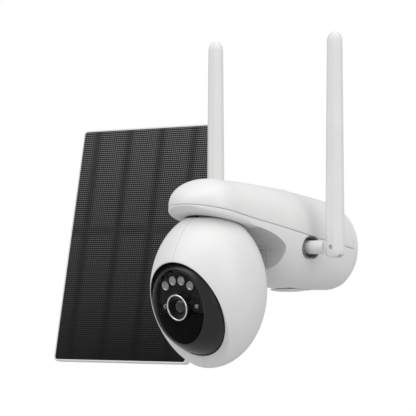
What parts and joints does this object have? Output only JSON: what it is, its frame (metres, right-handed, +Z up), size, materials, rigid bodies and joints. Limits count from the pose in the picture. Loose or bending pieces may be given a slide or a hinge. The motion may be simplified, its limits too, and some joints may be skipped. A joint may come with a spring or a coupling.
{
  "type": "solar-powered security camera",
  "caption": "Wall-mounted pan and tilt camera with an egg-shaped head, paddle antennas and a tilted solar panel on a side arm.",
  "frame": {"origin": "centre of the wall plate's back face", "axes": "+Y into the wall, -Y out towards the room (front), +X to the right seen from the front, +Z up"},
  "size_m": [0.3117, 0.183, 0.2618],
  "materials": {
    "white_plastic": "fine satin",
    "grey_plastic": "satin",
    "soft_grey": "matt",
    "black_rubber": "matt",
    "brass": "turned",
    "steel": "brushed",
    "bright_metal": "polished",
    "cell_wrap": "wrapped",
    "black_plastic": "satin",
    "circuit_board": "lacquered",
    "gloss_black": "polished",
    "clear_window": "clear",
    "lens_glass": "coated",
    "lamp": "clear moulding",
    "solar_face": "laminated"
  },
  "bodies": {
    "camera_base": {"wall_plate": "white_plastic", "lower_housing": "white_plastic", "top_cover": "white_plastic", "front_wall": "grey_plastic", "cover_gasket": "black_rubber", "cover_plugs": "soft_grey", "cover_inserts": "brass", "cover_screws": "steel", "battery_cells": "cell_wrap", "battery_holder": "black_plastic", "main_board": "circuit_board", "modem_board": "steel", "sim_slot": "steel", "speaker": "black_plastic", "port_board": "circuit_board", "charging_socket": "steel", "port_cover_pin": "steel", "pan_motor": "steel", "antenna_socket_left": "grey_plastic", "antenna_socket_right": "grey_plastic", "panel_arm": "white_plastic", "swing_pin": "steel"},
    "reset_button": {"reset_button": "black_plastic"},
    "port_cover": {"port_cover": "white_plastic"},
    "head": {"head_shell_left": "white_plastic", "head_shell_right": "white_plastic", "pan_hub": "grey_plastic", "head_screws": "steel"},
    "camera_module": {"module_shell": "black_plastic", "module_back": "black_plastic", "tilt_axle": "steel", "tilt_motor": "steel", "lamp_window": "clear_window", "infrared_window": "gloss_black", "lens_barrel": "black_plastic", "lens_ring": "bright_metal", "lens_glass": "lens_glass", "image_board": "circuit_board", "lamp_board": "white_plastic", "lamp_lenses": "lamp", "motion_sensor": "lamp", "light_sensor": "bright_metal"},
    "antenna_elbow_left": {"antenna_swivel_left": "white_plastic"},
    "antenna_elbow_right": {"antenna_swivel_right": "white_plastic"},
    "antenna_left": {"antenna_blade_left": "white_plastic", "antenna_pin_left": "steel"},
    "antenna_right": {"antenna_blade_right": "white_plastic", "antenna_pin_right": "steel"},
    "panel_swing": {"swing_block": "grey_plastic"},
    "panel": {"panel_back": "white_plastic", "panel_frame": "white_plastic", "solar_cells": "solar_face", "panel_box_lid": "grey_plastic", "panel_screws": "steel", "nod_pin": "steel"},
    "clamp_knob": {"clamp_knob": "grey_plastic"}
  },
  "joints": [
    {"name": "head_pan", "type": "hinge", "parent": "camera_base", "child": "head", "pos_m": [0, -0.141, 0], "axis": [0, 0, 1], "range_deg": [-175, 175]},
    {"name": "head_tilt", "type": "hinge", "parent": "head", "child": "camera_module", "pos_m": [0, -0.141, -0.0396], "axis": [1, 0, 0], "range_deg": [-35, 48]},
    {"name": "antenna_left_swivel", "type": "hinge", "parent": "camera_base", "child": "antenna_elbow_left", "pos_m": [-0.05, -0.0635, -0.0007], "axis": [1, 0, 0], "range_deg": [-15, 90]},
    {"name": "antenna_left_fold", "type": "hinge", "parent": "antenna_elbow_left", "child": "antenna_left", "pos_m": [-0.062, -0.0635, -0.0007], "axis": [0, -1, 0], "range_deg": [0, 8]},
    {"name": "antenna_right_swivel", "type": "hinge", "parent": "camera_base", "child": "antenna_elbow_right", "pos_m": [0.05, -0.0635, -0.0007], "axis": [1, 0, 0], "range_deg": [-15, 90]},
    {"name": "antenna_right_fold", "type": "hinge", "parent": "antenna_elbow_right", "child": "antenna_right", "pos_m": [0.062, -0.0635, -0.0007], "axis": [0, 1, 0], "range_deg": [0, 90]},
    {"name": "panel_swing_joint", "type": "hinge", "parent": "camera_base", "child": "panel_swing", "pos_m": [-0.165, -0.016, 0.001], "axis": [0, 0, 1], "range_deg": [-9, 9]},
    {"name": "panel_nod", "type": "hinge", "parent": "panel_swing", "child": "panel", "pos_m": [-0.165, -0.032, 0.001], "axis": [1, 0, 0], "range_deg": [-4, 10]},
    {"name": "clamp_knob_turn", "type": "hinge", "parent": "panel", "child": "clamp_knob", "pos_m": [-0.148, -0.032, 0.001], "axis": [1, 0, 0], "continuous": true},
    {"name": "port_cover_hinge", "type": "hinge", "parent": "camera_base", "child": "port_cover", "pos_m": [0, -0.033, -0.033], "axis": [1, 0, 0], "range_deg": [0, 85]},
    {"name": "reset_button_press", "type": "slide", "parent": "camera_base", "child": "reset_button", "axis": [0, 0, 1], "range_m": [0, 0.0008], "stiffness_N_per_m": 600}
  ]
}
